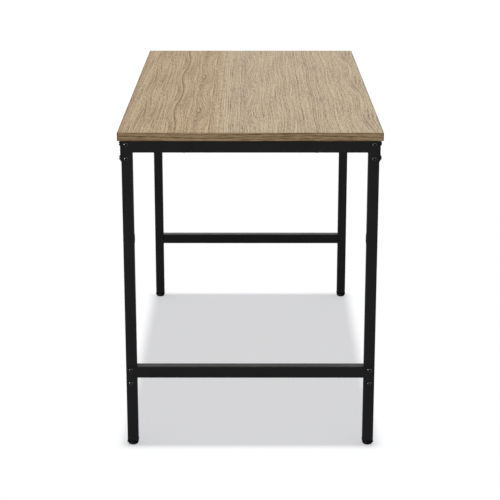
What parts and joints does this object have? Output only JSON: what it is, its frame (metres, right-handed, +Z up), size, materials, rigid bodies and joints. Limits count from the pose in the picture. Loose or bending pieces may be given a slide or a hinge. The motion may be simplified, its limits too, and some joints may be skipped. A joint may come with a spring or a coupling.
{
  "type": "desk",
  "caption": "Industrial table desk: wood-grain board on a bolted square-tube steel frame with low end stretchers and screw levelling feet.",
  "frame": {"origin": "on the floor under the middle of the desk", "axes": "+Z up, +X along the length towards the right-hand end, -Y towards the person who sits at it"},
  "size_m": [1.2, 0.6, 0.76],
  "materials": {
    "wood_laminate": "matt laminate with a light grey-brown wood grain",
    "wood_edge": "matt edge band with a darker wood grain",
    "black_steel": "satin black powder coat",
    "black_bolts": "semi-gloss black",
    "black_plastic": "moulded, matt",
    "zinc_screws": "zinc plated"
  },
  "bodies": {
    "desk_frame": {"bolt_end_rail_left_back_lower": "black_bolts", "bolt_end_rail_left_back_upper": "black_bolts", "bolt_end_rail_left_front_lower": "black_bolts", "bolt_end_rail_left_front_upper": "black_bolts", "bolt_end_rail_right_back_lower": "black_bolts", "bolt_end_rail_right_back_upper": "black_bolts", "bolt_end_rail_right_front_lower": "black_bolts", "bolt_end_rail_right_front_upper": "black_bolts", "bolt_end_stretcher_left_back_lower": "black_bolts", "bolt_end_stretcher_left_back_upper": "black_bolts", "bolt_end_stretcher_left_front_lower": "black_bolts", "bolt_end_stretcher_left_front_upper": "black_bolts", "bolt_end_stretcher_right_back_lower": "black_bolts", "bolt_end_stretcher_right_back_upper": "black_bolts", "bolt_end_stretcher_right_front_lower": "black_bolts", "bolt_end_stretcher_right_front_upper": "black_bolts", "bolt_side_rail_back_left_lower": "black_bolts", "bolt_side_rail_back_left_upper": "black_bolts", "bolt_side_rail_back_right_lower": "black_bolts", "bolt_side_rail_back_right_upper": "black_bolts", "bolt_side_rail_front_left_lower": "black_bolts", "bolt_side_rail_front_left_upper": "black_bolts", "bolt_side_rail_front_right_lower": "black_bolts", "bolt_side_rail_front_right_upper": "black_bolts", "desktop_panel": "wood_laminate", "edge_band_back": "wood_edge", "edge_band_front": "wood_edge", "edge_band_left": "wood_edge", "edge_band_right": "wood_edge", "end_rail_left": "black_steel", "end_rail_right": "black_steel", "end_stretcher_left": "black_steel", "end_stretcher_right": "black_steel", "foot_insert_back_left": "black_plastic", "foot_insert_back_right": "black_plastic", "foot_insert_front_left": "black_plastic", "foot_insert_front_right": "black_plastic", "leg_back_left": "black_steel", "leg_back_right": "black_steel", "leg_front_left": "black_steel", "leg_front_right": "black_steel", "screw_end_rail_left_back": "zinc_screws", "screw_end_rail_left_front": "zinc_screws", "screw_end_rail_right_back": "zinc_screws", "screw_end_rail_right_front": "zinc_screws", "screw_side_rail_back_left": "zinc_screws", "screw_side_rail_back_right": "zinc_screws", "screw_side_rail_front_left": "zinc_screws", "screw_side_rail_front_right": "zinc_screws", "side_rail_back": "black_steel", "side_rail_front": "black_steel", "slot_plug_back_left": "black_plastic", "slot_plug_back_right": "black_plastic", "slot_plug_front_left": "black_plastic", "slot_plug_front_right": "black_plastic"},
    "foot_front_left": {"levelling_foot_front_left": "black_plastic"},
    "foot_front_right": {"levelling_foot_front_right": "black_plastic"},
    "foot_back_left": {"levelling_foot_back_left": "black_plastic"},
    "foot_back_right": {"levelling_foot_back_right": "black_plastic"}
  },
  "joints": [
    {"name": "foot_front_left_extend", "type": "slide", "parent": "desk_frame", "child": "foot_front_left", "axis": [0, 0, -1], "range_m": [0, 0.01]},
    {"name": "foot_front_right_extend", "type": "slide", "parent": "desk_frame", "child": "foot_front_right", "axis": [0, 0, -1], "range_m": [0, 0.01]},
    {"name": "foot_back_left_extend", "type": "slide", "parent": "desk_frame", "child": "foot_back_left", "axis": [0, 0, -1], "range_m": [0, 0.01]},
    {"name": "foot_back_right_extend", "type": "slide", "parent": "desk_frame", "child": "foot_back_right", "axis": [0, 0, -1], "range_m": [0, 0.01]}
  ]
}
